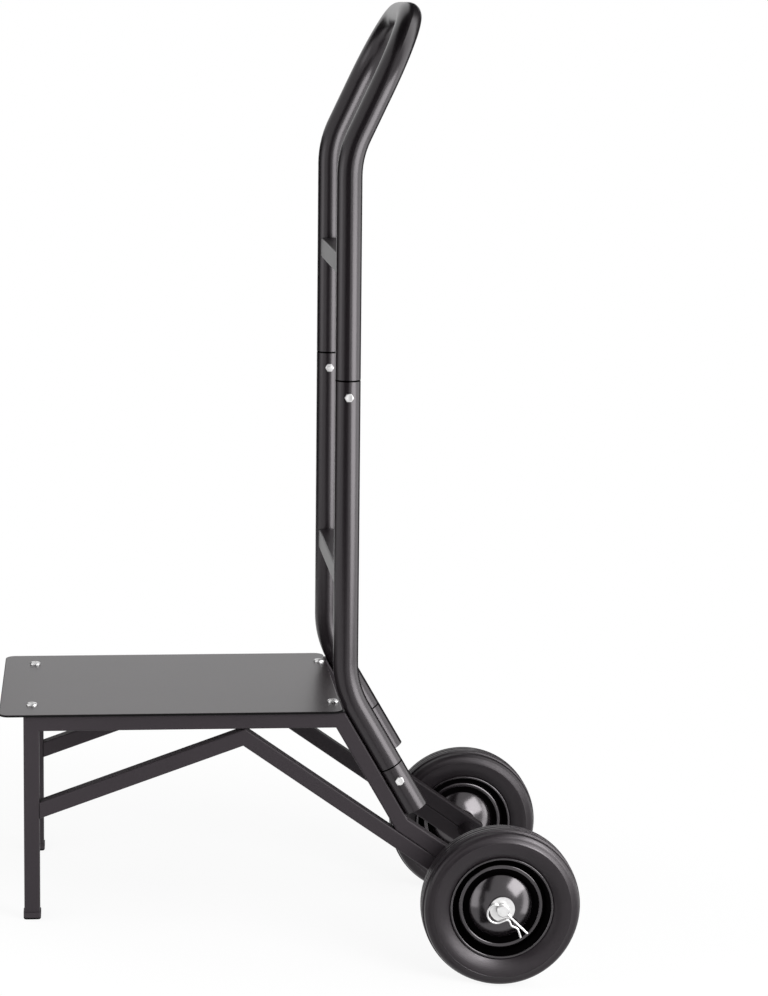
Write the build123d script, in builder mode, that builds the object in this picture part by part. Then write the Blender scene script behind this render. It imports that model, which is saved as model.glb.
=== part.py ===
from build123d import *
from math import asin, atan2, cos, hypot, radians, sin, tan
import os

# Chair trolley, in millimetres and degrees
# The side view is measured from the axle with the load plate level: back is rearwards, up is upwards
# The whole trolley is then turned forward about its axle until both front feet meet the floor
# Left and right are those of a person who stands behind the handle

# Side frames of square tube
frame_spacing = 291.5
square_size = 20.0
square_wall = 1.5
square_corner = 2.5
leg_reach = 595.5
foot_drop = 21.0
rail_height = 234.5
strut_reach = 203.0
strut_lean = 30.0
arm_slope = 35.0
arm_seam_drop = 2.0
arm_tail = 16.0
brace_rise = 19.5

# Plastic foot caps
cap_wall = 1.1
cap_height = 9.5
cap_floor = 5.0
cap_round = 2.5
cap_clearance = 0.05

# Load plate and the cross tubes under it
plate_thickness = 3.0
plate_front_overhang = 31.0
plate_side_overhang = 6.5
plate_rear_gap = 1.2
plate_corner = 13.0
plate_edge_round = 1.2
rear_tube_reach = 209.5
plate_bolt_spacing = 222.5

# Round tube uprights, sockets and handle
round_diameter = 32.0
round_wall = 1.5
upright_reach = 196.6
bend_radius = 120.0
socket_end = 151.0
socket_length = 66.0
upper_seam_height = 671.0
spigot_length = 45.0
spigot_clearance = 0.1
spigot_shoulder = 2.0
seam_gap = 1.6
handle_bend_height = 953.0
handle_lean = 25.3
handle_rise = 191.7
handle_corner = 100.0
weld_gap = 0.05

# Square crossbars between the uprights
crossbar_size = 25.0
crossbar_wall = 1.5
crossbar_corner = 2.0
lower_bar_height = 414.5
upper_bar_height = 813.5

# Bolts and nuts
plate_bolt_size = 8.0
plate_bolt_diameter = 14.0
plate_bolt_head = 3.8
plate_bolt_round = 3.2
plate_key_flats = 5.0
plate_key_depth = 2.2
plate_nut_flats = 13.0
plate_nut_height = 6.5
joint_bolt_size = 6.0
joint_bolt_flats = 10.0
joint_bolt_head = 4.0
joint_nut_height = 5.0
upper_bolt_drop = 21.0
lower_bolt_drop = 20.3
bolt_clearance = 0.25
nut_clearance = 0.05
bolt_overrun = 2.5
head_chamfer = 0.8

# Axle, its tube, washers and clips
axle_diameter = 16.0
axle_clearance = 0.15
axle_tube_wall = 3.0
axle_tube_stand = 12.7
axle_chamfer = 1.0
axle_end_margin = 5.0
inner_washer_diameter = 28.0
inner_washer_thickness = 1.8
outer_washer_diameter = 32.0
outer_washer_thickness = 2.5
washer_gap = 0.25
clip_wire = 3.0
clip_hole_clearance = 0.2
clip_turn = 44.3
clip_leg = 45.0
clip_back = 7.0
clip_loop_turn = 100.0
clip_loop_bend = 7.0
clip_loop_side = 2.5
clip_bow_turn = 145.0
clip_bow_bend = 12.0
clip_bow_side = 7.6
clip_neck_turn = 90.0
clip_neck_bend = 4.0
clip_wave_turn = 50.0
clip_wave_bend = 6.0
clip_wave_side = 3.0
clip_tip_turn = 53.0
clip_tip = 10.0

# Wheels
wheel_diameter = 203.0
tyre_width = 50.0
tyre_shoulder_width = 43.0
tyre_bead_width = 31.2
bead_chamfer = 0.9
tread_width = 22.0
tread_groove_width = 2.0
tread_groove_depth = 1.5
tread_groove_pitch = 7.0
tread_grooves = 3
shoulder_depth = 7.0
shoulder_groove_depth = 0.9
rim_thickness = 1.6
rim_seat_diameter = 129.2
rim_lip_diameter = 134.8
rim_lip_stand = 17.4
rim_seat_clearance = 0.1
dome_diameter = 83.0
dome_foot = 2.9
dome_crown = 17.0
dome_crown_diameter = 34.0
ring_diameter = 104.0
ring_stand = 7.5
ring_width = 6.0
groove_floor = 3.0
groove_wall = 2.0
hub_length = 36.0
hub_diameter = 25.0
hub_wall = 2.5
bush_length = 15.0
bush_clearance = 0.06

# Sizes that follow from the ones above
half_spacing = frame_spacing / 2
half_square = square_size / 2
frame_outer = half_spacing + half_square
frame_inner = half_spacing - half_square
round_radius = round_diameter / 2
rail_underside = rail_height - half_square
rail_top = rail_height + half_square
leg_bottom = cap_floor - foot_drop
wheel_radius = wheel_diameter / 2
axle_radius = axle_diameter / 2
axle_tube_radius = axle_radius + axle_clearance + axle_tube_wall
spigot_diameter = round_diameter - 2 * (round_wall + spigot_clearance)
axle_tube_end = frame_outer + axle_tube_stand
wheel_middle = axle_tube_end + inner_washer_thickness + washer_gap + hub_length / 2
outer_washer_place = wheel_middle + hub_length / 2 + washer_gap
clip_place = outer_washer_place + outer_washer_thickness + washer_gap + clip_wire / 2
axle_half_length = clip_place + clip_wire / 2 + axle_end_margin

# The trolley leans forward until the rounded front edge of each foot is as low as the wheels
foot_reach = leg_reach + half_square + cap_wall - cap_round
foot_round_drop = foot_drop - cap_round
rest_lean = asin((wheel_radius - cap_round) / hypot(foot_reach, foot_round_drop)) - atan2(
    foot_round_drop, foot_reach
)

# The origin lies on the floor under the middle of the trolley's length
plate_front = leg_reach + half_square + plate_front_overhang
plate_top = rail_top + plate_thickness
edge_centre_front = plate_front - plate_edge_round
edge_centre_height = plate_top - plate_edge_round
front_extent = edge_centre_front * cos(rest_lean) + edge_centre_height * sin(rest_lean) + plate_edge_round
axle_forward = (wheel_radius - front_extent) / 2

side = Plane(
    origin=(-axle_forward, 0, wheel_radius),
    x_dir=(cos(rest_lean), 0, sin(rest_lean)),
    z_dir=(0, -1, 0),
)
axle_axis = Axis(side.origin, (0, 1, 0))


def spot(back, up, out=0.0):
    """A point behind and above the axle, and out to the left of the middle."""
    return side.from_local_coords(Vector(back, up, out))


def heading(back, up):
    """A direction in the side view."""
    return side.x_dir * back + side.y_dir * up


def across(back, up, direction, out=half_spacing):
    """The plane that cuts across a tube which runs along a direction of the side view."""
    return Plane(origin=spot(back, up, out), x_dir=side.z_dir, z_dir=direction)


def through(back, up, out):
    """The plane that faces left at a point of the side view, turned with the frame."""
    return Plane(origin=spot(back, up, out), x_dir=side.x_dir, z_dir=side.z_dir)


def square_ring(plane, size=square_size, wall=square_wall, corner=square_corner):
    """The section of a square tube."""
    with BuildSketch(plane, mode=Mode.PRIVATE) as ring:
        RectangleRounded(size, size, corner)
        RectangleRounded(size - 2 * wall, size - 2 * wall, corner - wall / 2, mode=Mode.SUBTRACT)
    return ring.sketch


def round_ring(plane, diameter, bore):
    """The section of a round tube."""
    with BuildSketch(plane, mode=Mode.PRIVATE) as ring:
        Circle(diameter / 2)
        Circle(bore / 2, mode=Mode.SUBTRACT)
    return ring.sketch


def disc(plane, diameter):
    """A round section, for shanks and holes."""
    with BuildSketch(plane, mode=Mode.PRIVATE) as section:
        Circle(diameter / 2)
    return section.sketch


# Directions of the bars in the side view
upward = heading(0, 1)
rearward = heading(1, 0)
strut_back = sin(radians(strut_lean))
strut_fall = cos(radians(strut_lean))
strut_way = heading(strut_back, -strut_fall)
arm_back = cos(radians(arm_slope))
arm_fall = sin(radians(arm_slope))
arm_way = heading(arm_back, -arm_fall)
brace_way = heading(cos(radians(brace_rise)), sin(radians(brace_rise)))

# Upper and lower axle arms lie one on the other, with their seam a little under the axle
upper_arm_offset = half_square - arm_seam_drop
lower_arm_offset = -half_square - arm_seam_drop
arm_gradient = tan(radians(arm_slope))
strut_gradient = strut_fall / strut_back

# The knee is where the strut's middle line meets the upper arm's
knee_back = (rail_height - strut_gradient * strut_reach - upper_arm_offset / arm_back) / (
    strut_gradient - arm_gradient
)
knee_up = upper_arm_offset / arm_back - arm_gradient * knee_back

# The peak of the brace meets the rail where the seam line reaches the rail's underside
peak_back = -(rail_underside + arm_seam_drop / arm_back) / arm_gradient
half_peak = radians(arm_slope + brace_rise) / 2
peak_turn = radians(arm_slope - brace_rise) / 2
peak_depth = half_square / cos(half_peak)
peak_centre_back = peak_back - peak_depth * sin(peak_turn)
peak_centre_up = rail_underside - peak_depth * cos(peak_turn)

front_mitre = across(-leg_reach, rail_height, upward + rearward)
rear_mitre = across(-strut_reach, rail_height, rearward + strut_way)
knee_mitre = across(knee_back, knee_up, strut_way + arm_way)
peak_mitre = across(peak_centre_back, peak_centre_up, brace_way + arm_way)
leg_rear_face = across(-leg_reach + half_square, rail_height, rearward)

# Sockets stand against the back of the struts, and the uprights' slanted ends run on from them
socket_offset = half_square + round_radius + weld_gap
socket_seam = socket_end - socket_length


def socket_place(distance):
    """A point on the socket's middle line, at a distance down from the rail's height."""
    back = -strut_reach + socket_offset * strut_fall + distance * strut_back
    up = rail_height + socket_offset * strut_back - distance * strut_fall
    return back, up


socket_back, socket_up = socket_place(0)
bend_height = socket_up + (upright_reach + socket_back) * strut_gradient
seam_section = across(*socket_place(socket_seam), strut_way)
upper_seam_section = across(-upright_reach, upper_seam_height, upward)
lower_joint = through(*socket_place(socket_seam + lower_bolt_drop), half_spacing)
upper_joint = through(-upright_reach, upper_seam_height - upper_bolt_drop, half_spacing)
joint_hole = joint_bolt_size + 2 * bolt_clearance
plate_hole = plate_bolt_size + 2 * bolt_clearance

# Square tube of the left side frame
with BuildPart() as left_front_leg:
    extrude(square_ring(across(-leg_reach, leg_bottom, upward)), amount=rail_top - leg_bottom)
    split(bisect_by=front_mitre, keep=Keep.BOTTOM)

with BuildPart() as left_top_rail:
    extrude(
        square_ring(across(-leg_reach - square_size, rail_height, rearward)),
        amount=leg_reach - strut_reach + 2 * square_size,
    )
    split(bisect_by=front_mitre, keep=Keep.TOP)
    split(bisect_by=rear_mitre, keep=Keep.BOTTOM)

strut_length = hypot(strut_reach + knee_back, rail_height - knee_up)
with BuildPart() as left_rear_strut:
    extrude(
        square_ring(across(-strut_reach, rail_height, strut_way)),
        amount=strut_length + square_size,
    )
    extrude(square_ring(across(-strut_reach, rail_height, strut_way)), amount=-square_size)
    split(bisect_by=rear_mitre, keep=Keep.TOP)
    split(bisect_by=knee_mitre, keep=Keep.BOTTOM)

with BuildPart() as left_upper_arm:
    extrude(
        square_ring(across(upper_arm_offset * arm_fall, upper_arm_offset * arm_back, arm_way)),
        amount=-hypot(knee_back, knee_up) - square_size,
    )
    extrude(
        square_ring(across(upper_arm_offset * arm_fall, upper_arm_offset * arm_back, arm_way)),
        amount=arm_tail,
    )
    split(bisect_by=knee_mitre, keep=Keep.TOP)
    extrude(disc(side, 2 * axle_tube_radius), amount=frame_outer, mode=Mode.SUBTRACT)

with BuildPart() as left_front_brace:
    extrude(
        square_ring(across(peak_centre_back, peak_centre_up, brace_way)),
        amount=-(leg_reach + peak_centre_back) / cos(radians(brace_rise)),
    )
    extrude(square_ring(across(peak_centre_back, peak_centre_up, brace_way)), amount=square_size)
    split(bisect_by=leg_rear_face, keep=Keep.TOP)
    split(bisect_by=peak_mitre, keep=Keep.BOTTOM)

with BuildPart() as left_rear_brace:
    extrude(
        square_ring(across(lower_arm_offset * arm_fall, lower_arm_offset * arm_back, arm_way)),
        amount=-hypot(peak_centre_back, peak_centre_up) - square_size,
    )
    extrude(
        square_ring(across(lower_arm_offset * arm_fall, lower_arm_offset * arm_back, arm_way)),
        amount=arm_tail,
    )
    split(bisect_by=peak_mitre, keep=Keep.TOP)
    extrude(disc(side, 2 * axle_tube_radius), amount=frame_outer, mode=Mode.SUBTRACT)

# Foot cap, a cup that holds the leg's end
cap_size = square_size + 2 * cap_wall
with BuildPart() as left_foot_cap:
    with BuildSketch(across(-leg_reach, -foot_drop, upward)):
        RectangleRounded(cap_size, cap_size, square_corner + cap_wall)
    extrude(amount=cap_height)
    fillet(faces().sort_by(Axis(spot(0, 0), upward))[0].edges(), radius=cap_round)
    with BuildSketch(across(-leg_reach, leg_bottom, upward)):
        RectangleRounded(
            square_size + 2 * cap_clearance,
            square_size + 2 * cap_clearance,
            square_corner + cap_clearance,
        )
    extrude(amount=cap_height, mode=Mode.SUBTRACT)

# Socket tube behind the strut, and the bent upright that plugs into it
with BuildPart() as left_socket:
    extrude(
        round_ring(seam_section.offset(seam_gap), round_diameter, round_diameter - 2 * round_wall),
        amount=socket_length - seam_gap,
    )
    extrude(disc(lower_joint, joint_hole), amount=round_diameter, both=True, mode=Mode.SUBTRACT)

with BuildPart() as left_lower_upright:
    with BuildLine(side.offset(half_spacing)) as upright_path:
        FilletPolyline(
            socket_place(socket_seam),
            (-upright_reach, bend_height),
            (-upright_reach, upper_seam_height - seam_gap),
            radius=bend_radius,
        )
    sweep(
        round_ring(seam_section, round_diameter, round_diameter - 2 * round_wall),
        path=upright_path.line,
    )
    extrude(
        round_ring(seam_section, round_diameter, spigot_diameter - 2 * round_wall),
        amount=-spigot_shoulder,
    )
    extrude(
        round_ring(seam_section, spigot_diameter, spigot_diameter - 2 * round_wall),
        amount=spigot_length,
    )
    for joint in (lower_joint, upper_joint):
        extrude(disc(joint, joint_hole), amount=round_diameter, both=True, mode=Mode.SUBTRACT)

# Handle, one tube bent into a U that leans back
handle_top_back = -upright_reach + handle_rise * sin(radians(handle_lean))
handle_top_height = handle_bend_height + handle_rise * cos(radians(handle_lean))
with BuildPart() as handle:
    with BuildLine() as handle_path:
        FilletPolyline(
            spot(-upright_reach, upper_seam_height, half_spacing),
            spot(-upright_reach, handle_bend_height, half_spacing),
            spot(handle_top_back, handle_top_height, half_spacing),
            spot(handle_top_back, handle_top_height, -half_spacing),
            spot(-upright_reach, handle_bend_height, -half_spacing),
            spot(-upright_reach, upper_seam_height, -half_spacing),
            radius=(bend_radius, handle_corner, handle_corner, bend_radius),
        )
    sweep(
        round_ring(upper_seam_section, round_diameter, round_diameter - 2 * round_wall),
        path=handle_path.line,
    )
    for out in (half_spacing, -half_spacing):
        seam = across(-upright_reach, upper_seam_height, upward, out)
        extrude(
            round_ring(seam, round_diameter, spigot_diameter - 2 * round_wall),
            amount=spigot_shoulder,
        )
        extrude(
            round_ring(seam, spigot_diameter, spigot_diameter - 2 * round_wall),
            amount=-spigot_length,
        )
    extrude(disc(upper_joint, joint_hole), amount=2 * frame_spacing, both=True, mode=Mode.SUBTRACT)


def crossbar(height):
    """A square bar between the uprights, with its ends hollowed to fit round them."""
    with BuildPart() as bar:
        extrude(
            square_ring(
                through(-upright_reach, height, 0), crossbar_size, crossbar_wall, crossbar_corner
            ),
            amount=half_spacing,
            both=True,
        )
        for out in (half_spacing, -half_spacing):
            extrude(
                disc(across(-upright_reach, height, upward, out), round_diameter),
                amount=crossbar_size,
                both=True,
                mode=Mode.SUBTRACT,
            )
    return bar


lower_crossbar = crossbar(lower_bar_height)
upper_crossbar = crossbar(upper_bar_height)


def cross_tube(reach):
    """A square tube between the side frames, drilled for the load plate's bolts."""
    with BuildPart() as tube:
        extrude(square_ring(through(-reach, rail_height, 0)), amount=frame_inner, both=True)
        for out in (plate_bolt_spacing / 2, -plate_bolt_spacing / 2):
            extrude(
                disc(across(-reach, rail_height, upward, out), plate_hole),
                amount=square_size,
                both=True,
                mode=Mode.SUBTRACT,
            )
    return tube


front_cross_tube = cross_tube(leg_reach)
rear_cross_tube = cross_tube(rear_tube_reach)

# Load plate, which stops just short of the sloping back of the struts
strut_back_face = -strut_reach + half_square / strut_fall
plate_rear = strut_back_face - (plate_top - rail_height) / strut_gradient - plate_rear_gap
plate_length = plate_front + plate_rear
plate_width = 2 * (frame_outer + plate_side_overhang)
plate_middle = (plate_rear - plate_front) / 2
bolt_rows = (-leg_reach, -rear_tube_reach)
with BuildPart() as load_plate:
    with BuildSketch(across(plate_middle, rail_top, upward, 0)):
        RectangleRounded(plate_width, plate_length, plate_corner)
    extrude(amount=plate_thickness)
    fillet(
        faces().filter_by(Axis(spot(0, 0), upward)).edges(),
        radius=plate_edge_round,
    )
    for row in bolt_rows:
        for out in (plate_bolt_spacing / 2, -plate_bolt_spacing / 2):
            extrude(
                disc(across(row, rail_top, upward, out), plate_hole),
                amount=plate_thickness,
                mode=Mode.SUBTRACT,
            )


def hex_bolt(size, flats, head, length):
    """A bolt whose head stands on the ground plane and whose shank hangs below it."""
    with BuildPart() as bolt:
        with BuildSketch():
            RegularPolygon(flats / 2, 6, major_radius=False)
        extrude(amount=head)
        chamfer(faces().sort_by(Axis.Z)[-1].edges(), length=head_chamfer)
        extrude(disc(Plane.XY, size), amount=-length)
    return bolt.part


def button_bolt(size, diameter, head, length):
    """A bolt with a rounded head and a hexagonal key hole, standing like the hex bolts."""
    with BuildPart() as bolt:
        extrude(disc(Plane.XY, diameter), amount=head)
        fillet(faces().sort_by(Axis.Z)[-1].edges(), radius=plate_bolt_round)
        with BuildSketch(Plane.XY.offset(head)):
            RegularPolygon(plate_key_flats / 2, 6, major_radius=False)
        extrude(amount=-plate_key_depth, mode=Mode.SUBTRACT)
        extrude(disc(Plane.XY, size), amount=-length)
    return bolt.part


def hex_nut(size, flats, height):
    """A nut that hangs below the ground plane."""
    with BuildPart() as nut:
        with BuildSketch():
            RegularPolygon(flats / 2, 6, major_radius=False)
            Circle(size / 2 + nut_clearance, mode=Mode.SUBTRACT)
        extrude(amount=-height)
    return nut.part


# Bolts that hold the load plate, with their nuts under the cross tubes
plate_stack = plate_thickness + square_size
plate_bolt = button_bolt(
    plate_bolt_size,
    plate_bolt_diameter,
    plate_bolt_head,
    plate_stack + plate_nut_height + bolt_overrun,
)
plate_nut = hex_nut(plate_bolt_size, plate_nut_flats, plate_nut_height)
plate_corners = [
    (row, out) for row in bolt_rows for out in (plate_bolt_spacing / 2, -plate_bolt_spacing / 2)
]
with BuildPart() as plate_bolts:
    with Locations(*[across(row, plate_top, upward, out) for row, out in plate_corners]):
        add(plate_bolt)

with BuildPart() as plate_nuts:
    with Locations(*[across(row, rail_underside, upward, out) for row, out in plate_corners]):
        add(plate_nut)

# Bolts across the four tube joints, heads outwards and nuts inwards
joint_bolt = hex_bolt(
    joint_bolt_size,
    joint_bolt_flats,
    joint_bolt_head,
    round_diameter + joint_nut_height + bolt_overrun,
)
joint_nut = hex_nut(joint_bolt_size, joint_bolt_flats, joint_nut_height)


def joint_pair(fastener, joint, out):
    """One fastener on each side's joint, seated at a distance out from the tube's middle."""
    with BuildPart() as pair:
        with Locations(joint.offset(out)):
            add(fastener)
        mirror(about=Plane.XZ)
    return pair


lower_joint_bolts = joint_pair(joint_bolt, lower_joint, round_radius)
lower_joint_nuts = joint_pair(joint_nut, lower_joint, -round_radius)
upper_joint_bolts = joint_pair(joint_bolt, upper_joint, round_radius)
upper_joint_nuts = joint_pair(joint_nut, upper_joint, -round_radius)

# Axle and the tube that holds it across both side frames and keeps the wheels clear of them
clip_way = heading(cos(radians(clip_turn)), -sin(radians(clip_turn)))
with BuildPart() as axle_tube:
    extrude(
        round_ring(side, 2 * axle_tube_radius, axle_diameter + 2 * axle_clearance),
        amount=axle_tube_end,
        both=True,
    )

with BuildPart() as axle:
    extrude(disc(side, axle_diameter), amount=axle_half_length, both=True)
    chamfer(edges().filter_by(GeomType.CIRCLE), length=axle_chamfer)
    for out in (clip_place, -clip_place):
        extrude(
            disc(across(0, 0, clip_way, out), clip_wire + 2 * clip_hole_clearance),
            amount=axle_diameter,
            both=True,
            mode=Mode.SUBTRACT,
        )


def washer_pair(diameter, thickness, place):
    """A washer on each end of the axle."""
    with BuildPart() as pair:
        extrude(
            round_ring(side.offset(place), diameter, axle_diameter + 2 * axle_clearance),
            amount=thickness,
        )
        mirror(about=Plane.XZ)
    return pair


inner_washers = washer_pair(inner_washer_diameter, inner_washer_thickness, axle_tube_end)
outer_washers = washer_pair(outer_washer_diameter, outer_washer_thickness, outer_washer_place)

# Spring clip of bent wire: a straight leg through the axle, a wide loop and a wavy leg
clip_plane = Plane(origin=spot(0, 0, clip_place), x_dir=clip_way, z_dir=(0, 1, 0))
clip_bends = (
    (-clip_loop_turn, clip_loop_bend, clip_loop_side),
    (-clip_bow_turn, clip_bow_bend, clip_bow_side),
    (clip_neck_turn, clip_neck_bend, clip_wave_side),
    (-clip_wave_turn, clip_wave_bend, clip_wave_side),
    (clip_tip_turn, clip_wave_bend, clip_tip),
)
with BuildPart() as left_clip:
    with BuildLine(clip_plane) as clip_path:
        stretch = Line((clip_leg, 0), (-clip_back, 0))
        for turn, bend, straight in clip_bends:
            curve = JernArc(stretch @ 1, stretch % 1, bend, turn)
            stretch = PolarLine(curve @ 1, straight, direction=curve % 1)
    sweep(
        disc(Plane(origin=spot(0, 0, clip_place) + clip_way * clip_leg, z_dir=-clip_way), clip_wire),
        path=clip_path.line,
    )

# Left wheel, drawn as half sections: first radius from the axle, then distance out from the wheel's middle
wheel_section = Plane(origin=spot(0, 0, wheel_middle), x_dir=(1, 0, 0), z_dir=(0, 0, -1))
half_tyre = tyre_width / 2
half_bead = tyre_bead_width / 2
half_shoulder = tyre_shoulder_width / 2
half_tread = tread_width / 2
seat_radius = rim_seat_diameter / 2 + rim_seat_clearance
lip_radius = rim_lip_diameter / 2
shoulder_radius = wheel_radius - shoulder_depth
with BuildPart() as left_tyre:
    with BuildSketch(wheel_section):
        with BuildLine() as half_outline:
            Polyline(
                (seat_radius, 0),
                (seat_radius, half_bead - bead_chamfer),
                (seat_radius + bead_chamfer, half_bead),
                (lip_radius + rim_seat_clearance, half_bead),
                (lip_radius + rim_thickness, rim_lip_stand),
            )
            ThreePointArc(
                (lip_radius + rim_thickness, rim_lip_stand),
                ((lip_radius + shoulder_radius) / 2, half_tyre),
                (shoulder_radius, half_shoulder),
            )
            ThreePointArc(
                (shoulder_radius, half_shoulder),
                (
                    wheel_radius - (wheel_radius - shoulder_radius) / 4,
                    half_tread + (half_shoulder - half_tread) / 2,
                ),
                (wheel_radius, half_tread),
            )
            Line((wheel_radius, half_tread), (wheel_radius, 0))
            mirror(about=Plane.XZ)
        make_face()
        with GridLocations(0, tread_groove_pitch, 1, tread_grooves):
            with Locations((wheel_radius, 0)):
                Rectangle(2 * tread_groove_depth, tread_groove_width, mode=Mode.SUBTRACT)
        for out in (half_shoulder, -half_shoulder):
            with Locations((shoulder_radius, out)):
                Circle(shoulder_groove_depth, mode=Mode.SUBTRACT)
    revolve(axis=axle_axis)

# One pressed disc: hub dome, groove, raised ring, groove and the lip that grips the tyre
dome_radius = dome_diameter / 2
crown_radius = dome_crown_diameter / 2
ring_radius = ring_diameter / 2
flange_radius = rim_seat_diameter / 2 - rim_thickness
ball_height = (crown_radius**2 + dome_crown**2 - dome_radius**2 - dome_foot**2) / (
    2 * (dome_crown - dome_foot)
)
ball_radius = hypot(crown_radius, dome_crown - ball_height)
dome_mid_radius = (crown_radius + dome_radius) / 2
dome_mid = ball_height + (ball_radius**2 - dome_mid_radius**2) ** 0.5
hub_radius = hub_diameter / 2
with BuildPart() as left_outer_disc:
    with BuildSketch(wheel_section):
        with BuildLine() as disc_outline:
            with BuildLine() as face_line:
                Line((hub_radius, dome_crown), (crown_radius, dome_crown))
                ThreePointArc(
                    (crown_radius, dome_crown),
                    (dome_mid_radius, dome_mid),
                    (dome_radius, dome_foot),
                )
                Polyline(
                    (dome_radius, dome_foot),
                    (dome_radius + groove_wall, rim_thickness),
                    (ring_radius - ring_width / 2 - groove_wall, rim_thickness),
                    (ring_radius - ring_width / 2, ring_stand - ring_width / 2),
                )
                ThreePointArc(
                    (ring_radius - ring_width / 2, ring_stand - ring_width / 2),
                    (ring_radius, ring_stand),
                    (ring_radius + ring_width / 2, ring_stand - ring_width / 2),
                )
                Polyline(
                    (ring_radius + ring_width / 2, ring_stand - ring_width / 2),
                    (ring_radius + ring_width / 2 + groove_wall, groove_floor),
                    (flange_radius - groove_wall, groove_floor),
                    (flange_radius, groove_floor + groove_wall),
                    (flange_radius, rim_lip_stand - rim_thickness),
                    (flange_radius + rim_thickness, rim_lip_stand),
                    (lip_radius, rim_lip_stand),
                )
            offset(amount=rim_thickness, side=Side.RIGHT)
        make_face()
    revolve(axis=axle_axis)

with BuildPart() as left_inner_disc:
    mirror(left_outer_disc.part, about=side.offset(wheel_middle))

with BuildPart() as left_hub:
    extrude(
        round_ring(side.offset(wheel_middle), hub_diameter, hub_diameter - 2 * hub_wall),
        amount=hub_length / 2,
        both=True,
    )

with BuildPart() as left_bushes:
    extrude(
        round_ring(
            side.offset(wheel_middle + hub_length / 2),
            hub_diameter - 2 * hub_wall,
            axle_diameter + 2 * bush_clearance,
        ),
        amount=-bush_length,
    )
    mirror(about=side.offset(wheel_middle))

# The right side mirrors the left
left_pieces = {
    "front_leg": left_front_leg,
    "top_rail": left_top_rail,
    "rear_strut": left_rear_strut,
    "upper_arm": left_upper_arm,
    "front_brace": left_front_brace,
    "rear_brace": left_rear_brace,
    "foot_cap": left_foot_cap,
    "socket": left_socket,
    "lower_upright": left_lower_upright,
    "clip": left_clip,
    "tyre": left_tyre,
    "outer_disc": left_outer_disc,
    "inner_disc": left_inner_disc,
    "hub": left_hub,
    "bushes": left_bushes,
}
pieces = {
    "handle": handle,
    "lower_crossbar": lower_crossbar,
    "upper_crossbar": upper_crossbar,
    "front_cross_tube": front_cross_tube,
    "rear_cross_tube": rear_cross_tube,
    "load_plate": load_plate,
    "plate_bolts": plate_bolts,
    "plate_nuts": plate_nuts,
    "lower_joint_bolts": lower_joint_bolts,
    "lower_joint_nuts": lower_joint_nuts,
    "upper_joint_bolts": upper_joint_bolts,
    "upper_joint_nuts": upper_joint_nuts,
    "axle_tube": axle_tube,
    "axle": axle,
    "inner_washers": inner_washers,
    "outer_washers": outer_washers,
}
for name, left_piece in left_pieces.items():
    with BuildPart() as right_piece:
        mirror(left_piece.part, about=Plane.XZ)
    pieces[f"left_{name}"] = left_piece
    pieces[f"right_{name}"] = right_piece

os.makedirs("parts", exist_ok=True)
for name, piece in pieces.items():
    piece.part.label = name
    export_step(piece.part, f"parts/{name}.step")
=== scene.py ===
import math

import bpy
from mathutils import Euler, Matrix, Quaternion, Vector


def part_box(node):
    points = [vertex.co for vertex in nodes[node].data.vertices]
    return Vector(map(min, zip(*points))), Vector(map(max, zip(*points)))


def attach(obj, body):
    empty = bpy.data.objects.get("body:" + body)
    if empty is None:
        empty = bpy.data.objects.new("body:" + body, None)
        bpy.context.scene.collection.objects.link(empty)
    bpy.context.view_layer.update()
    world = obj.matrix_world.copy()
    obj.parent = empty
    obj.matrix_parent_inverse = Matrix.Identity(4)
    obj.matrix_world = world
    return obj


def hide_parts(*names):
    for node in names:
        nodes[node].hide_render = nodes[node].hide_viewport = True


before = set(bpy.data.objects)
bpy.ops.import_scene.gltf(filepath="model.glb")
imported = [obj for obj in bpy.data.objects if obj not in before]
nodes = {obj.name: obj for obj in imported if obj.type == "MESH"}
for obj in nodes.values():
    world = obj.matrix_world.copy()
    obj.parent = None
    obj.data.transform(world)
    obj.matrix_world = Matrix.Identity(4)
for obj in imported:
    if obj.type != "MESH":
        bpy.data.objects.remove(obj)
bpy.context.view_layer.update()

mm = 0.001

# Places on the trolley: the axle's line, and the lean of the whole trolley on its front feet
tyre_low, tyre_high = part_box("left_tyre")
axle_x = (tyre_low.x + tyre_high.x) / 2
axle_z = (tyre_low.z + tyre_high.z) / 2
left_wheel_y = (tyre_low.y + tyre_high.y) / 2
wheel_gauge = -2 * left_wheel_y
lean = math.radians(7.6736)
rearward = Vector((math.cos(lean), 0.0, math.sin(lean)))
upward = Vector((-math.sin(lean), 0.0, math.cos(lean)))
leftward = Vector((0.0, -1.0, 0.0))

# Sizes in millimetres; heights and rows are measured from the axle along the leaning frame
plate_top = 247.5
rail_underside = 224.5
foot_bottom = -21.0
plate_bolt_rows = (-595.5, -209.5)
plate_bolt_out = 111.25
upright_width = 32.0


def on_trolley(back, up, out):
    """A place behind and above the axle and out to the left, in millimetres along the leaning frame."""
    return Vector((axle_x, 0.0, axle_z)) + (rearward * back + upward * up + leftward * out) * mm


# Work on meshes
merge_gap = 0.001 * mm
corner_gap = 0.01 * mm


def begin(piece=None):
    """Nothing is selected but the piece that is worked on next."""
    bpy.ops.object.select_all(action="DESELECT")
    if piece:
        bpy.context.view_layer.objects.active = piece
        piece.select_set(True)


def edit(piece):
    begin(piece)
    bpy.ops.object.mode_set(mode="EDIT")


def leave():
    bpy.ops.object.mode_set(mode="OBJECT")


def pick_faces(piece, wanted):
    """Goes on editing the piece with only the wanted faces selected."""
    edit(piece)
    bpy.ops.mesh.select_mode(type="FACE")
    bpy.ops.mesh.select_all(action="DESELECT")
    leave()
    for face in piece.data.polygons:
        face.select = wanted(face)
    edit(piece)


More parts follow.
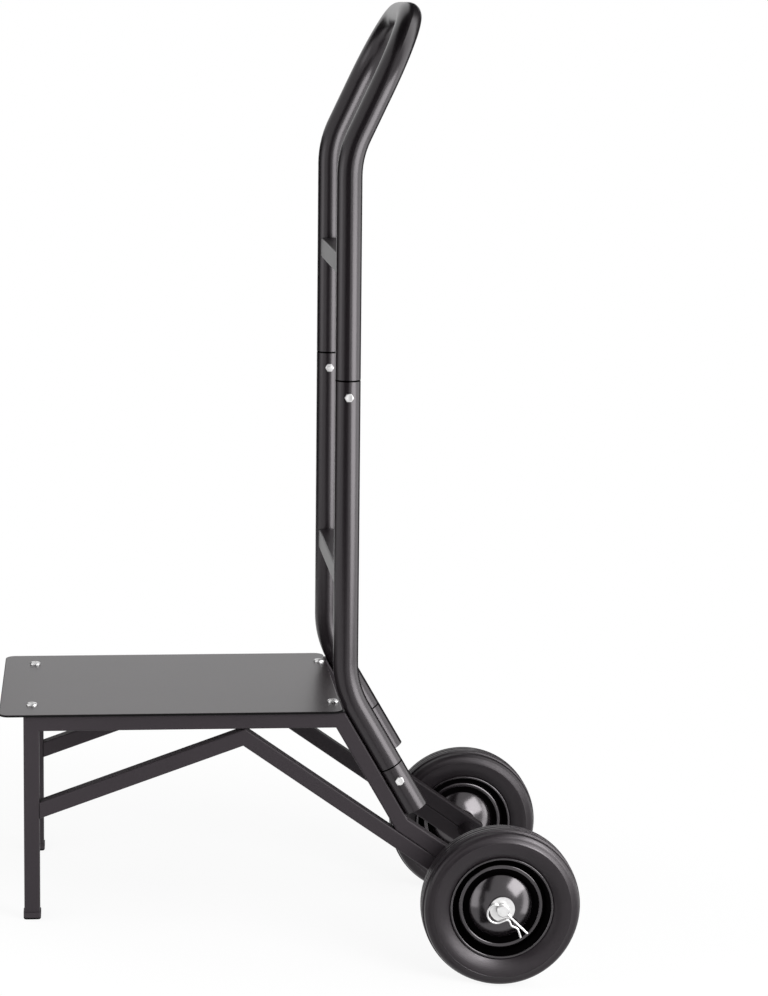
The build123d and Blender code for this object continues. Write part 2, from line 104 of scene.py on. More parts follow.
def settle(piece, name, smooth_angle):
    """A finished piece: named, placed by its mesh, and smooth except at its sharp edges."""
    begin(piece)
    bpy.ops.object.transform_apply(location=True, rotation=True, scale=True)
    bpy.ops.object.shade_smooth_by_angle(angle=math.radians(smooth_angle))
    piece.name = name
    piece.data.name = name
    return piece


def apply_modifiers(piece):
    begin(piece)
    for modifier in list(piece.modifiers):
        bpy.ops.object.modifier_apply(modifier=modifier.name)


def scrap(*pieces):
    for piece in pieces:
        begin(piece)
        bpy.ops.object.delete()


def cut_with(piece, tool, operation):
    cut = piece.modifiers.new("cut", "BOOLEAN")
    cut.operation = operation
    cut.solver = "EXACT"
    cut.object = tool
    apply_modifiers(piece)
    scrap(tool)


def wheel_corner(point):
    """A corner of a wheel's half section: its radius, and its distance out from the wheel's middle."""
    return Vector((axle_x + point[0] * mm, left_wheel_y - point[1] * mm, axle_z))


def shank_corner(point):
    """A corner of a bolt's half section: its radius and its height above the seat."""
    return Vector((point[0] * mm, 0.0, point[1] * mm))


def draw_outline(outline, corner, closed=False, round_steps=5):
    """A line of vertices through a half section's corners, each rounded by its third number."""
    begin()
    bpy.ops.mesh.primitive_plane_add(size=mm, location=corner(outline[0]))
    line = bpy.context.object
    bpy.ops.object.transform_apply(location=True)
    edit(line)
    bpy.ops.mesh.select_mode(type="VERT")
    bpy.ops.mesh.select_all(action="SELECT")
    bpy.ops.mesh.merge(type="CENTER")
    route = list(outline) + ([outline[0]] if closed else [])
    for here, there in zip(route, route[1:]):
        step = corner(there) - corner(here)
        bpy.ops.mesh.extrude_region_move(TRANSFORM_OT_translate={"value": step})
    bpy.ops.mesh.select_all(action="SELECT")
    bpy.ops.mesh.remove_doubles(threshold=merge_gap)
    for cut in sorted({point[2] for point in outline if point[2]}):
        cut_corners = [corner(point) for point in outline if point[2] == cut]
        bpy.ops.mesh.select_all(action="DESELECT")
        leave()
        for vertex in line.data.vertices:
            vertex.select = any((vertex.co - place).length < corner_gap for place in cut_corners)
        edit(line)
        bpy.ops.mesh.bevel(offset=cut * mm, segments=round_steps, affect="VERTICES")
    return line


def spin_round(line, steps, centre, axis):
    """The line that is being edited becomes a turned piece."""
    bpy.ops.mesh.select_all(action="SELECT")
    bpy.ops.mesh.spin(steps=steps, angle=2 * math.pi, center=centre, axis=axis, use_auto_merge=True)
    bpy.ops.mesh.select_all(action="SELECT")
    bpy.ops.mesh.remove_doubles(threshold=merge_gap)
    bpy.ops.mesh.normals_make_consistent(inside=False)
    leave()
    return line


def copy_of(piece, name):
    begin(piece)
    bpy.ops.object.duplicate()
    twin = bpy.context.object
    twin.name = name
    twin.data.name = name
    return twin


def shift_across(piece, distance):
    edit(piece)
    bpy.ops.mesh.select_all(action="SELECT")
    bpy.ops.transform.translate(value=(0.0, distance, 0.0))
    leave()


def flip_across(piece, y):
    """The piece becomes its mirror image in an upright plane along the trolley."""
    edit(piece)
    bpy.ops.mesh.select_all(action="SELECT")
    bpy.ops.transform.resize(value=(1.0, -1.0, 1.0), center_override=(0.0, y, 0.0))
    bpy.ops.mesh.flip_normals()
    leave()


# Rubber tyres: beads under the rim's lips, crowned sidewalls with a moulded rib, and a grooved tread
wheel_steps = 160
wheel_smoothing = 40.0
axle_line = ((axle_x, 0.0, axle_z), (0.0, 1.0, 0.0))
tyre_half = (
    (64.7, 15.2, 0.6),
    (66.8, 15.4, 0.3),
    (67.4, 16.4, 0.3),
    (72.0, 20.2, 2.4),
    (78.0, 23.4, 3.0),
    (84.4, 24.9, 2.0),
    (87.2, 25.0, 0.0),
    (87.45, 25.3, 0.12),
    (88.1, 25.2, 0.12),
    (88.4, 24.8, 0.0),
    (95.2, 23.2, 1.6),
    (98.3, 20.0, 0.5),
    (99.7, 15.4, 0.5),
    (98.6, 14.6, 0.3),
    (98.6, 11.8, 0.3),
    (101.2, 11.0, 0.5),
    (101.4, 8.1, 0.3),
    (100.0, 7.7, 0.2),
    (100.0, 6.3, 0.2),
    (101.5, 5.9, 0.3),
    (101.5, 1.5, 0.35),
    (99.9, 1.0, 0.25),
)
tyre_outline = tyre_half + tuple((radius, -out, cut) for radius, out, cut in reversed(tyre_half))
left_tyre = spin_round(draw_outline(tyre_outline, wheel_corner, closed=True), wheel_steps, *axle_line)
settle(left_tyre, "left_tyre_rubber", wheel_smoothing)
right_tyre = copy_of(left_tyre, "right_tyre_rubber")
shift_across(right_tyre, wheel_gauge)

# Pressed wheel discs: hub dome, dark groove, raised ring, second groove and the lip over the tyre's bead
disc_sheet = 1.0
disc_face = (
    (12.5, 17.0, 0.0),
    (17.0, 17.0, 1.2),
    (23.0, 15.1, 2.6),
    (29.0, 12.5, 2.6),
    (34.0, 9.8, 2.2),
    (38.0, 7.2, 1.4),
    (40.2, 5.5, 0.7),
    (43.4, 1.8, 0.4),
    (50.1, 8.2, 1.5),
    (53.5, 8.2, 1.5),
    (58.6, 1.8, 0.4),
    (63.4, 17.4, 1.2),
    (66.1, 17.4, 1.2),
    (66.1, 16.0, 0.0),
)
left_outer_disc = spin_round(draw_outline(disc_face, wheel_corner, round_steps=8), wheel_steps, *axle_line)
sheet = left_outer_disc.modifiers.new("sheet", "SOLIDIFY")
sheet.thickness = disc_sheet * mm
sheet.offset = -1.0
sheet.use_even_offset = True
apply_modifiers(left_outer_disc)
settle(left_outer_disc, "left_outer_wheel_disc", wheel_smoothing)
left_inner_disc = copy_of(left_outer_disc, "left_inner_wheel_disc")
flip_across(left_inner_disc, left_wheel_y)
right_outer_disc = copy_of(left_inner_disc, "right_outer_wheel_disc")
shift_across(right_outer_disc, wheel_gauge)
right_inner_disc = copy_of(left_outer_disc, "right_inner_wheel_disc")
shift_across(right_inner_disc, wheel_gauge)

tyres = (left_tyre, right_tyre)
discs = (left_outer_disc, left_inner_disc, right_outer_disc, right_inner_disc)
wheel_pieces = (
    (left_tyre, "left_wheel", "left_tyre", "tyre_rubber"),
    (right_tyre, "right_wheel", "right_tyre", "tyre_rubber"),
    (left_outer_disc, "left_wheel", "left_outer_disc", "wheel_paint"),
    (left_inner_disc, "left_wheel", "left_inner_disc", "wheel_paint"),
    (right_outer_disc, "right_wheel", "right_outer_disc", "wheel_paint"),
    (right_inner_disc, "right_wheel", "right_inner_disc", "wheel_paint"),
)
for piece, body, node, slot in wheel_pieces:
    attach(piece, body)
    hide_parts(node)

# Bolts and nuts: hex heads with a round chamfer at the joints, button heads on the plate, threaded free ends
upright_line = ((0.0, 0.0, 0.0), (0.0, 0.0, 1.0))
chamfer_steps = 64
bore_steps = 48
button_steps = 48
shank_steps = 32
head_dish = 0.12
fastener_smoothing = 28.0


def hex_block(flats, height, dish=0.0):
    """A hexagon on the ground, chamfered round at its top, which may be dished inside a flat rim."""
    begin()
    bpy.ops.mesh.primitive_cylinder_add(
        vertices=6, radius=flats / math.sqrt(3) * mm, depth=height * mm, location=(0.0, 0.0, height / 2 * mm)
    )
    block = bpy.context.object
    bpy.ops.object.transform_apply(location=True)
    if dish:
        rim = 0.16 * flats
        dish_slope = 0.1 * flats
        pick_faces(block, lambda face: face.normal.z > 0.9)
        bpy.ops.mesh.inset(thickness=rim * mm)
        bpy.ops.mesh.inset(thickness=dish_slope * mm)
        bpy.ops.transform.translate(value=(0.0, 0.0, -dish * mm))
        leave()
    crown = 0.475 * flats
    spare = 0.2 * height
    chamfer_slope = math.sqrt(3)
    begin()
    bpy.ops.mesh.primitive_cone_add(
        vertices=chamfer_steps,
        radius1=(crown + (height + spare) * chamfer_slope) * mm,
        radius2=(crown - spare * chamfer_slope) * mm,
        depth=(height + 2 * spare) * mm,
        location=(0.0, 0.0, height / 2 * mm),
    )
    cut_with(block, bpy.context.object, "INTERSECT")
    return block


def threaded_end(size, length, pitch, run):
    """Corners of a shank's free end: a ring for each turn of the thread, then the flat end."""
    radius = size / 2
    core = radius - 0.6 * pitch
    crest_rise = 0.62 * pitch
    root_rise = 0.12 * pitch
    corners = []
    for turn in reversed(range(int(run / pitch))):
        start = (turn + 0.5) * pitch - length
        corners += [(radius, start + crest_rise, 0.0), (core, start + root_rise, 0.0)]
    return corners + [(core, -length, 0.0), (0.0, -length, 0.0)]


def hex_bolt(name, size, flats, head, length, pitch, run):
    """A bolt whose head stands on the ground and whose shank hangs below it."""
    block = hex_block(flats, head, head_dish)
    outline = [(0.0, head / 2, 0.0), (size / 2, head / 2, 0.0)] + threaded_end(size, length, pitch, run)
    shank = spin_round(draw_outline(outline, shank_corner), shank_steps, *upright_line)
    begin(block)
    shank.select_set(True)
    bpy.ops.object.join()
    block.name = name
    return block


def button_bolt(name, size, diameter, head, length, pitch, run):
    """A bolt with a low rounded head and a hexagonal key hole, standing like the hex bolts."""
    rim = diameter / 2
    rounding = 0.78 * head
    key_radius = 0.29 * size
    key_cut = 1.2 * head
    outline = [(0.0, head, 0.0), (rim, head, rounding), (rim, 0.0, 0.0), (size / 2, 0.0, 0.0)]
    outline += threaded_end(size, length, pitch, run)
    bolt = spin_round(draw_outline(outline, shank_corner, round_steps=8), button_steps, *upright_line)
    begin()
    bpy.ops.mesh.primitive_cylinder_add(
        vertices=6, radius=key_radius * mm, depth=key_cut * mm, location=(0.0, 0.0, head * mm)
    )
    cut_with(bolt, bpy.context.object, "DIFFERENCE")
    bolt.name = name
    return bolt


def hex_nut(name, size, flats, height):
    """A nut that stands on the ground."""
    block = hex_block(flats, height)
    begin()
    bpy.ops.mesh.primitive_cylinder_add(vertices=bore_steps, radius=size / 2 * mm, depth=4 * height * mm)
    cut_with(block, bpy.context.object, "DIFFERENCE")
    block.name = name
    return block


def fasten(master, name, node, seats):
    """Copies of a bolt or nut as one piece; a seat has a place and the ways its top and a corner point."""
    copies = []
    for place, top, corner in seats:
        twin = copy_of(master, name)
        turn = Matrix((corner.cross(top), corner, top)).transposed()
        twin.matrix_world = Matrix.Translation(place) @ turn.to_4x4()
        copies.append(twin)
    begin(copies[0])
    for twin in copies:
        twin.select_set(True)
    bpy.ops.object.join()
    fasteners = settle(copies[0], name, fastener_smoothing)
    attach(fasteners, "frame")
    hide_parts(node)
    return fasteners


def joint_seats(level):
    """Seats at the lower or upper joint: the nuts inside the uprights, and the bolt heads outside them."""
    nut_low, nut_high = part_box(level + "_joint_nuts")
    joint_middle = (nut_low + nut_high) / 2
    nut_seats = []
    bolt_seats = []
    for side in (leftward, -leftward):
        tube_inside = joint_middle + side * nut_high.y
        nut_seats.append((tube_inside, -side, rearward))
        bolt_seats.append((tube_inside + side * upright_width * mm, side, rearward))
    return nut_seats, bolt_seats


plate_bolt = button_bolt("plate_bolt", size=8.0, diameter=14.4, head=3.2, length=32.0, pitch=1.25, run=12.0)
plate_nut = hex_nut("plate_nut", size=8.0, flats=13.0, height=6.5)
joint_bolt = hex_bolt("joint_bolt", size=6.0, flats=10.0, head=4.0, length=39.5, pitch=1.0, run=10.0)
joint_nut = hex_nut("joint_nut", size=6.0, flats=10.0, height=5.0)
plate_spots = [(back, out) for back in plate_bolt_rows for out in (plate_bolt_out, -plate_bolt_out)]
plate_bolt_seats = [(on_trolley(back, plate_top, out), upward, leftward) for back, out in plate_spots]
plate_nut_seats = [(on_trolley(back, rail_underside, out), -upward, leftward) for back, out in plate_spots]
lower_nut_seats, lower_bolt_seats = joint_seats("lower")
upper_nut_seats, upper_bolt_seats = joint_seats("upper")
zinc_pieces = (
    fasten(plate_bolt, "plate_bolt_set", "plate_bolts", plate_bolt_seats),
    fasten(plate_nut, "plate_nut_set", "plate_nuts", plate_nut_seats),
    fasten(joint_bolt, "lower_joint_bolt_pair", "lower_joint_bolts", lower_bolt_seats),
    fasten(joint_nut, "lower_joint_nut_pair", "lower_joint_nuts", lower_nut_seats),
    fasten(joint_bolt, "upper_joint_bolt_pair", "upper_joint_bolts", upper_bolt_seats),
    fasten(joint_nut, "upper_joint_nut_pair", "upper_joint_nuts", upper_nut_seats),
)
scrap(plate_bolt, plate_nut, joint_bolt, joint_nut)

# Finishes


def combine(tree, operation, first, second):
    """One sum on two values of a node tree."""
    step = tree.nodes.new("ShaderNodeMath")
    step.operation = operation
    tree.links.new(first, step.inputs[0])
    tree.links.new(second, step.inputs[1])
    return step.outputs["Value"]


class Finish:
    """A material on a piece's own coordinates, with short calls for the nodes that the finishes share."""

    def __init__(self, name, **settings):
        self.material = bpy.data.materials.new(name)
        self.material.use_nodes = True
        self.tree = self.material.node_tree
        self.shader = self.tree.nodes["Principled BSDF"]
        for socket, value in settings.items():
            self.shader.inputs[socket.replace("_", " ")].default_value = value
        self.place = self.tree.nodes.new("ShaderNodeTexCoord").outputs["Object"]
        self.relief = None

    def node(self, kind, **values):
        made = self.tree.nodes.new(kind)
        for socket, value in values.items():
            made.inputs[socket.replace("_", " ")].default_value = value
        return made

    def join(self, start, end):
        self.tree.links.new(start, end)

    def noise(self, scale, detail):
        cloud = self.node("ShaderNodeTexNoise", Scale=scale, Detail=detail)
        self.join(self.place, cloud.inputs["Vector"])
        return cloud.outputs["Fac"]

    def spread(self, source, low, high, source_low=0.3, source_high=0.7):
        """Stretches the middle of a noise, or another range, over a new range."""
        stretch = self.node(
            "ShaderNodeMapRange", From_Min=source_low, From_Max=source_high, To_Min=low, To_Max=high
        )
        self.join(source, stretch.inputs["Value"])
        return stretch.outputs["Result"]

    def mix_colours(self, source, dark, light):
        blend = self.tree.nodes.new("ShaderNodeMix")
        blend.data_type = "RGBA"
        blend.inputs["A"].default_value = (*dark, 1.0)
        blend.inputs["B"].default_value = (*light, 1.0)
        self.join(source, blend.inputs["Factor"])
        self.join(blend.outputs["Result"], self.shader.inputs["Base Color"])
        return blend

    def colour(self, dark, light, scale, detail=3.0):
        """A colour that drifts between two near ones."""
        self.mix_colours(self.spread(self.noise(scale, detail), 0.0, 1.0), dark, light)

    def rough(self, low, high, scale, detail=3.0):
        """A roughness that drifts between two values."""
        self.join(self.spread(self.noise(scale, detail), low, high), self.shader.inputs["Roughness"])

    def emboss(self, source, depth, strength):
        bump = self.node("ShaderNodeBump", Strength=strength, Distance=depth)
        self.join(source, bump.inputs["Height"])
        if self.relief:
            self.join(self.relief, bump.inputs["Normal"])
        self.relief = bump.outputs["Normal"]
        self.join(self.relief, self.shader.inputs["Normal"])

    def pebble(self, depth, strength, scale, detail=2.0):
        """A fine uneven surface."""
        self.emboss(self.noise(scale, detail), depth, strength)

    def band(self, place, way, width):
        """1 between a plane and the one that lies a width further along a direction."""
        apart = self.tree.nodes.new("ShaderNodeVectorMath")
        apart.operation = "SUBTRACT"
        apart.inputs[1].default_value = place
        self.join(self.place, apart.inputs[0])
        along = self.tree.nodes.new("ShaderNodeVectorMath")
        along.operation = "DOT_PRODUCT"
        along.inputs[1].default_value = way
        self.join(apart.outputs["Vector"], along.inputs[0])
        inside = self.tree.nodes.new("ShaderNodeMath")
        inside.operation = "COMPARE"
        inside.inputs[1].default_value = width / 2
        inside.inputs[2].default_value = width / 2
        self.join(along.outputs["Value"], inside.inputs[0])
        return inside.outputs["Value"]

    def paint_shade(self, mask, tone):
        """Paints shade: leaves only a dark grey and no shine where the mask is 1."""
        coat_colour = self.shader.inputs["Base Color"].links[0].from_socket
        grey = (tone, tone, tone)
        blend = self.mix_colours(mask, grey, grey)
        self.join(coat_colour, blend.inputs["A"])
        shine = self.shader.inputs["Specular IOR Level"]
        self.join(self.spread(mask, shine.default_value, 0.0, 0.0, 1.0), shine)


# The black finishes shine a little towards plum
dark_shine = (1.0, 0.945, 0.985, 1.0)


def powder_coat(name, dark, light, rough, peel, specular=0.5):
    """Baked black coat: even colour, a soft orange peel, and a finer grit in the gloss."""
    coat = Finish(name, Specular_IOR_Level=specular, Specular_Tint=dark_shine)
    coat.colour(dark, light, scale=14.0)
    coat.rough(*rough, scale=1600.0, detail=2.0)
    coat.pebble(peel, 0.6, scale=520.0)
    coat.pebble(peel / 4, 0.5, scale=2400.0, detail=1.0)
    return coat


frame_coat = powder_coat(
    "frame_coat",
    dark=(0.0178, 0.0146, 0.017),
    light=(0.0196, 0.0161, 0.0187),
    rough=(0.48, 0.56),
    peel=0.03 * mm,
    specular=0.26,
)
tube_coat = powder_coat(
    "tube_coat",
    dark=(0.0066, 0.0052, 0.0062),
    light=(0.0074, 0.0059, 0.007),
    rough=(0.27, 0.3),
    peel=0.001 * mm,
)
bar_coat = powder_coat(
    "bar_coat",
    dark=(0.0088, 0.007, 0.0083),
    light=(0.0098, 0.0078, 0.0092),
    rough=(0.35, 0.39),
    peel=0.006 * mm,
)
plate_coat = powder_coat(
    "plate_coat",
    dark=(0.021, 0.017, 0.0185),
    light=(0.023, 0.0187, 0.0203),
    rough=(0.29, 0.33),
    peel=0.004 * mm,
    specular=0.46,
)

# Painted shade: what shows in the narrow gaps at the tube joints is painted nearly black and without shine
gap_shade_tone = 0.0004
upper_joint = on_trolley(-196.6, 671.3, 0.0)
upper_gap = 2.2 * mm
strut_slant = math.radians(30.0)
strut_way = rearward * math.sin(strut_slant) - upward * math.cos(strut_slant)
lower_joint = on_trolley(-137.94, 173.91, 0.0)
lower_gap = 1.8 * mm
gap_margin = 0.1 * mm
upper_seam = tube_coat.band(upper_joint, -upward, upper_gap)
lower_seam = tube_coat.band(lower_joint - strut_way * gap_margin, strut_way, lower_gap)
tube_coat.paint_shade(combine(tube_coat.tree, "MAXIMUM", upper_seam, lower_seam), gap_shade_tone)

# Painted shade: the plate's edge is painted nearly black and without shine below its rounded rim
plate_rim = 0.4
plate_edge_height = 2.3
plate_edge_shade_tone = 0.006
plate_edge_shade_mask = plate_coat.band(on_trolley(0.0, plate_top - plate_rim, 0.0), -upward, plate_edge_height * mm)
plate_coat.paint_shade(plate_edge_shade_mask, plate_edge_shade_tone)

# Glossy black wheel discs
wheel_gloss = Finish("wheel_gloss", Specular_IOR_Level=0.88, Specular_Tint=dark_shine)
wheel_gloss.colour((0.006, 0.0047, 0.0056), (0.007, 0.0055, 0.0066), scale=25.0)
wheel_gloss.rough(0.16, 0.2, scale=300.0)
wheel_gloss.pebble(0.004 * mm, 0.5, scale=420.0)

# Painted shade: the two grooves of a wheel disc are painted nearly black and without shine
groove_painted_shade = Finish("groove_painted_shade", Specular_IOR_Level=0.0)
groove_painted_shade.colour((0.0017, 0.0015, 0.0016), (0.0024, 0.0021, 0.0023), scale=60.0)
groove_painted_shade.rough(0.6, 0.7, scale=300.0)
groove_painted_shade.pebble(0.01 * mm, 0.5, scale=900.0)
disc_grooves = ((40.4, 49.3), (54.3, 62.6))


def in_groove(face):
    """Whether a face of a wheel disc lies between the two radii of a groove."""
    radius = math.hypot(face.center.x - axle_x, face.center.z - axle_z) / mm
    return any(inner < radius < outer for inner, outer in disc_grooves)


# Black rubber with fine rings from its mould
tyre_rubber = Finish("tyre_rubber", Specular_IOR_Level=0.34, Specular_Tint=dark_shine)
tyre_rubber.colour((0.0082, 0.0065, 0.0077), (0.01, 0.0079, 0.0094), scale=45.0, detail=5.0)
tyre_rubber.rough(0.34, 0.41, scale=260.0, detail=4.0)
mould = tyre_rubber.node("ShaderNodeMapping", Location=(-axle_x, 0.0, -axle_z))
tyre_rubber.join(tyre_rubber.place, mould.inputs["Vector"])
mould_lines = tyre_rubber.node("ShaderNodeTexWave", Scale=140.0, Distortion=0.6, Detail=1.0)
mould_lines.wave_type = "RINGS"
mould_lines.rings_direction = "Y"
tyre_rubber.join(mould.outputs["Vector"], mould_lines.inputs["Vector"])
tyre_rubber.emboss(mould_lines.outputs["Fac"], 0.02 * mm, 0.6)
tyre_rubber.pebble(0.03 * mm, 0.5, scale=1400.0)

# Plastic foot caps, with painted shade along the bottom of each cap: nearly black and without shine
foot_plastic = Finish("foot_plastic", Specular_IOR_Level=0.3, Specular_Tint=dark_shine)
foot_plastic.colour((0.0192, 0.0157, 0.0184), (0.0216, 0.0177, 0.0206), scale=90.0)
foot_plastic.rough(0.46, 0.56, scale=700.0)
foot_plastic.pebble(0.04 * mm, 0.6, scale=1600.0)
foot_shade_top = 2.8
foot_shade_height = 3.2
foot_shade_tone = 0.003
foot_shade_mask = foot_plastic.band(on_trolley(0.0, foot_bottom + foot_shade_top, 0.0), -upward, foot_shade_height * mm)
foot_plastic.paint_shade(foot_shade_mask, foot_shade_tone)

# Zinc plating on bolts, nuts, washers, clips and the axle
zinc = Finish("zinc", Metallic=1.0)
zinc.colour((0.66, 0.655, 0.655), (0.76, 0.755, 0.755), scale=160.0, detail=4.0)
zinc.rough(0.34, 0.44, scale=700.0)
zinc.pebble(0.01 * mm, 0.5, scale=1500.0)

# Pale nylon bushes
nylon = Finish("nylon")
nylon.colour((0.68, 0.66, 0.6), (0.73, 0.71, 0.65), scale=80.0)
nylon.rough(0.42, 0.52, scale=500.0)
nylon.pebble(0.02 * mm, 0.5, scale=900.0, detail=3.0)

# Which piece has which finish: what isn't listed is zinc or frame coat
finish_of = {
    "handle": tube_coat,
    "lower_upright": tube_coat,
    "socket": tube_coat,
    "axle_tube": tube_coat,
    "lower_crossbar": bar_coat,
    "upper_crossbar": bar_coat,
    "load_plate": plate_coat,
    "hub": wheel_gloss,
    "foot_cap": foot_plastic,
    "bushes": nylon,
    "axle": zinc,
    "clip": zinc,
}


def give_finishes(piece, *finishes):
    piece.data.materials.clear()
    for finish in finishes:
        piece.data.materials.append(finish.material)


for name, piece in nodes.items():
    plain = name.removeprefix("left_").removeprefix("right_")
    fastener = plain.endswith(("bolts", "nuts", "washers"))
    give_finishes(piece, finish_of.get(plain, zinc if fastener else frame_coat))
for piece in tyres:
    give_finishes(piece, tyre_rubber)
for piece in zinc_pieces:
    give_finishes(piece, zinc)
# The groove faces of each disc take the painted shade
for piece in discs:
    give_finishes(piece, wheel_gloss, groove_painted_shade)
    pick_faces(piece, in_groove)
    piece.active_material_index = 1
    bpy.ops.object.material_slot_assign()
    leave()

# What the floor and the surroundings show


def seen_rays(tree):
    """1 for the rays that show the surroundings: straight from the camera, off a gloss or through glass."""
    path = tree.nodes.new("ShaderNodeLightPath")
    seen = path.outputs["Is Camera Ray"]
    for ray in ("Is Glossy Ray", "Is Transmission Ray"):
        seen = combine(tree, "MAXIMUM", seen, path.outputs[ray])
    return seen


def show_white(tree, share, own, white, output):
    """Shows white by a share that depends on the ray, and the surface's own look for the rest."""
    blend = tree.nodes.new("ShaderNodeMixShader")
    tree.links.new(share, blend.inputs["Fac"])
    tree.links.new(own, blend.inputs[1])
    tree.links.new(white, blend.inputs[2])
    tree.links.new(blend.outputs["Shader"], tree.nodes[output].inputs["Surface"])


def matt_paint(name, grey, roughness):
    """A plain grey paint without shine."""
    paint = bpy.data.materials.new(name)
    paint.use_nodes = True
    shader = paint.node_tree.nodes["Principled BSDF"]
    shader.inputs["Base Color"].default_value = (grey, grey, grey, 1.0)
    shader.inputs["Roughness"].default_value = roughness
    shader.inputs["Specular IOR Level"].default_value = 0.0
    return paint


# Pale floor: white to the eye and in reflections, with the trolley's soft shadow near it
floor_width = 16.0
shadow_inner = 0.3
shadow_outer = 0.95
white_by_trolley = 0.9
begin()
bpy.ops.mesh.primitive_plane_add(size=floor_width)
floor = bpy.context.object
floor.name = "floor"
floor_paint = matt_paint("floor_paint", grey=0.8, roughness=0.9)
floor_tree = floor_paint.node_tree
floor_place = floor_tree.nodes.new("ShaderNodeTexCoord")
floor_reach = floor_tree.nodes.new("ShaderNodeVectorMath")
floor_reach.operation = "LENGTH"
floor_tree.links.new(floor_place.outputs["Object"], floor_reach.inputs[0])
fade = floor_tree.nodes.new("ShaderNodeMapRange")
fade.interpolation_type = "SMOOTHSTEP"
fade.inputs["From Min"].default_value = shadow_inner
fade.inputs["From Max"].default_value = shadow_outer
fade.inputs["To Min"].default_value = white_by_trolley
fade.inputs["To Max"].default_value = 1.0
floor_tree.links.new(floor_reach.outputs["Value"], fade.inputs["Value"])
show_white(
    floor_tree,
    combine(floor_tree, "MULTIPLY", fade.outputs["Result"], seen_rays(floor_tree)),
    floor_tree.nodes["Principled BSDF"].outputs["BSDF"],
    floor_tree.nodes.new("ShaderNodeEmission").outputs["Emission"],
    "Material Output",
)
floor.data.materials.append(floor_paint)

# White surroundings, softer as a light on the trolley
soft_strength = 0.3
world = bpy.data.worlds.new("studio")
bpy.context.scene.world = world
world.use_nodes = True
sky_tree = world.node_tree
soft_sky = sky_tree.nodes["Background"]
white_sky = sky_tree.nodes.new("ShaderNodeBackground")
for sky, strength in ((soft_sky, soft_strength), (white_sky, 1.0)):
    sky.inputs["Color"].default_value = (1.0, 1.0, 1.0, 1.0)
    sky.inputs["Strength"].default_value = strength
show_white(
    sky_tree,
    seen_rays(sky_tree),
    soft_sky.outputs["Background"],
    white_sky.outputs["Background"],
    "World Output",
)

# Lights, placed by degrees to the right of the camera, degrees up, and metres from what they face
middle = Vector((0.1, 0.0, 0.55))
dome_out = 12.0 * mm
near_wheel = Vector((axle_x, left_wheel_y - dome_out, axle_z))
far_wheel = Vector((axle_x, -left_wheel_y - dome_out, axle_z))
window_distance = 0.5
window_tilt = 30.0
glint_distance = 0.25
glint_width = 0.08


def studio_way(azimuth, elevation=0.0):
    """A direction in the studio: degrees to the right of the camera, and degrees up."""
    turn = math.radians(azimuth)
    rise = math.radians(elevation)
    return Vector((math.sin(turn) * math.cos(rise), -math.cos(turn) * math.cos(rise), math.sin(rise)))


def area_light(name, place, way, width, height, power, tilt=0.0):
    """A rectangular light that shines along a direction, turned in its own plane by some degrees."""
    lamp = bpy.data.lights.new(name, "AREA")
    lamp.shape = "RECTANGLE"
    lamp.size = width
    lamp.size_y = height
    lamp.energy = power
    light = bpy.data.objects.new(name, lamp)
    bpy.context.scene.collection.objects.link(light)
    light.location = place
    turn = way.to_track_quat("-Z", "Y") @ Quaternion((0.0, 0.0, 1.0), math.radians(tilt))
    light.rotation_euler = turn.to_euler()
    light.visible_camera = False
    return light


def softbox(name, azimuth, elevation, distance, width, height, power, tilt=0.0):
    """A large light that faces the trolley's middle."""
    way = studio_way(azimuth, elevation)
    return area_light(name, middle + way * distance, -way, width, height, power, tilt)


def link_light(light, pieces, state):
    """The light shines on these pieces alone when they are included, and past them when they are excluded."""
    linked = bpy.data.collections.new(light.name + "_pieces")
    for piece in pieces:
        linked.objects.link(piece)
    for entry in linked.collection_objects:
        entry.light_linking.link_state = state
    light.light_linking.receiver_collection = linked


def near_window(name, piece, azimuth, elevation, width, height, power):
    """A tilted light before the near wheel, which only one of its pieces reflects."""
    way = studio_way(azimuth, elevation)
    light = area_light(name, near_wheel + way * window_distance, -way, width, height, power, window_tilt)
    light.visible_diffuse = False
    link_light(light, (piece,), "INCLUDE")


def dome_glint(name, wheel, azimuth, power, height=0.28, lift=0.0):
    """A small upright light low beside a wheel, which only the pressed discs see."""
    way = studio_way(azimuth)
    place = wheel + way * glint_distance + Vector((0.0, 0.0, lift))
    light = area_light(name, place, -way, glint_width, height, power)
    light.visible_diffuse = False
    link_light(light, discs, "INCLUDE")


far_arms = (nodes["right_upper_arm"], nodes["right_rear_brace"])
key_light = softbox(
    "key_light", azimuth=43.0, elevation=8.0, distance=1.25, width=0.9, height=0.95, power=20.4, tilt=18.0
)
link_light(key_light, (left_outer_disc, *far_arms), "EXCLUDE")
softbox("right_light", azimuth=90.0, elevation=30.0, distance=2.2, width=2.0, height=4.2, power=44.0)
softbox("left_light", azimuth=-78.0, elevation=-5.0, distance=2.8, width=1.3, height=1.6, power=10.0)
fill_light = softbox(
    "fill_light", azimuth=-50.0, elevation=-6.0, distance=1.0, width=0.8, height=0.8, power=6.6
)
fill_light.visible_glossy = False
link_light(fill_light, (right_tyre, *far_arms), "EXCLUDE")
near_window("dome_window", left_outer_disc, azimuth=47.0, elevation=33.0, width=0.32, height=0.28, power=2.1)
near_window("tyre_window", left_tyre, azimuth=52.0, elevation=52.0, width=0.3, height=0.2, power=2.8)
dome_glint("near_left_glint", near_wheel, azimuth=-57.0, power=0.21, height=0.4, lift=0.06)
dome_glint("near_right_glint", near_wheel, azimuth=70.0, power=0.2)
dome_glint("far_right_glint", far_wheel, azimuth=70.0, power=0.2)

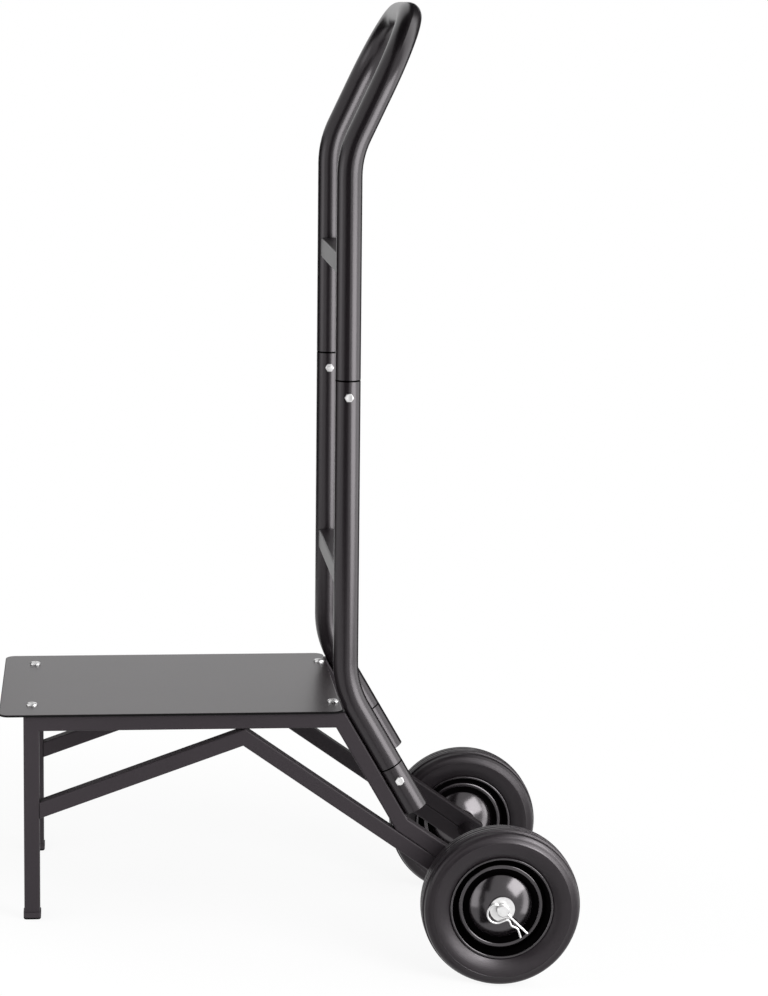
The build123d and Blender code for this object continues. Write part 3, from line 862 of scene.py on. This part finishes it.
# Black cards that only gloss can see, which darken the coat's reflections beside the bright ones
card_paint = matt_paint("card_black", grey=0.01, roughness=1.0)


def black_card(name, place, rotation, width, height):
    begin()
    bpy.ops.mesh.primitive_plane_add(size=1.0, location=place, rotation=rotation)
    card = bpy.context.object
    card.name = name
    card.scale = (width, height, 1.0)
    card.data.materials.append(card_paint)
    card.visible_camera = False
    card.visible_diffuse = False
    card.visible_transmission = False
    card.visible_shadow = False


def upright_card(name, azimuth, distance, width, bottom, top):
    """A card that faces the trolley's middle, between two heights."""
    place = middle + studio_way(azimuth) * distance
    place.z = (bottom + top) / 2
    black_card(name, place, (math.pi / 2, 0.0, math.radians(azimuth)), width, top - bottom)


def level_card(name, place, width, depth, turn=0.0):
    """A card above the trolley or on the floor, turned by some degrees."""
    black_card(name, place, (0.0, 0.0, math.radians(turn)), width, depth)


upright_card("front_card", azimuth=-23.0, distance=0.755, width=0.46, bottom=0.3, top=2.2)
upright_card("low_card", azimuth=-17.0, distance=0.7, width=0.13, bottom=0.0, top=0.3)
upright_card("left_card", azimuth=-131.0, distance=1.5, width=1.3, bottom=0.0, top=1.15)
upright_card("right_card", azimuth=141.0, distance=1.5, width=1.2, bottom=0.0, top=1.9)
upright_card("high_card", azimuth=157.0, distance=1.5, width=1.3, bottom=1.6, top=3.3)
level_card("ceiling_card", (-0.15, -0.1, 2.2), width=1.2, depth=1.5)
# Painted shade: the floor card is a black strip beside the near wheel, seen only in reflections, standing in
# for the shade on the floor there
level_card("floor_card", (axle_x - 0.23, left_wheel_y - 0.29, mm), width=0.6, depth=0.05, turn=50.0)

# Camera at the photograph's angle, rolled by the trolley's lean
camera_data = bpy.data.cameras.new("camera")
camera_data.sensor_fit = "VERTICAL"
camera_data.sensor_height = 36.0
camera_data.lens = 101.161
camera_data.shift_x = 0.10
camera_data.shift_y = -0.15
camera_data.clip_end = 100.0
camera = bpy.data.objects.new("camera", camera_data)
bpy.context.scene.collection.objects.link(camera)
camera.location = (-0.38397, -3.61897, 1.16422)
camera.rotation_euler = Euler((1.4566, -0.139315, -0.069017), "XYZ")
bpy.context.scene.camera = camera

bpy.context.scene.view_settings.view_transform = "Standard"
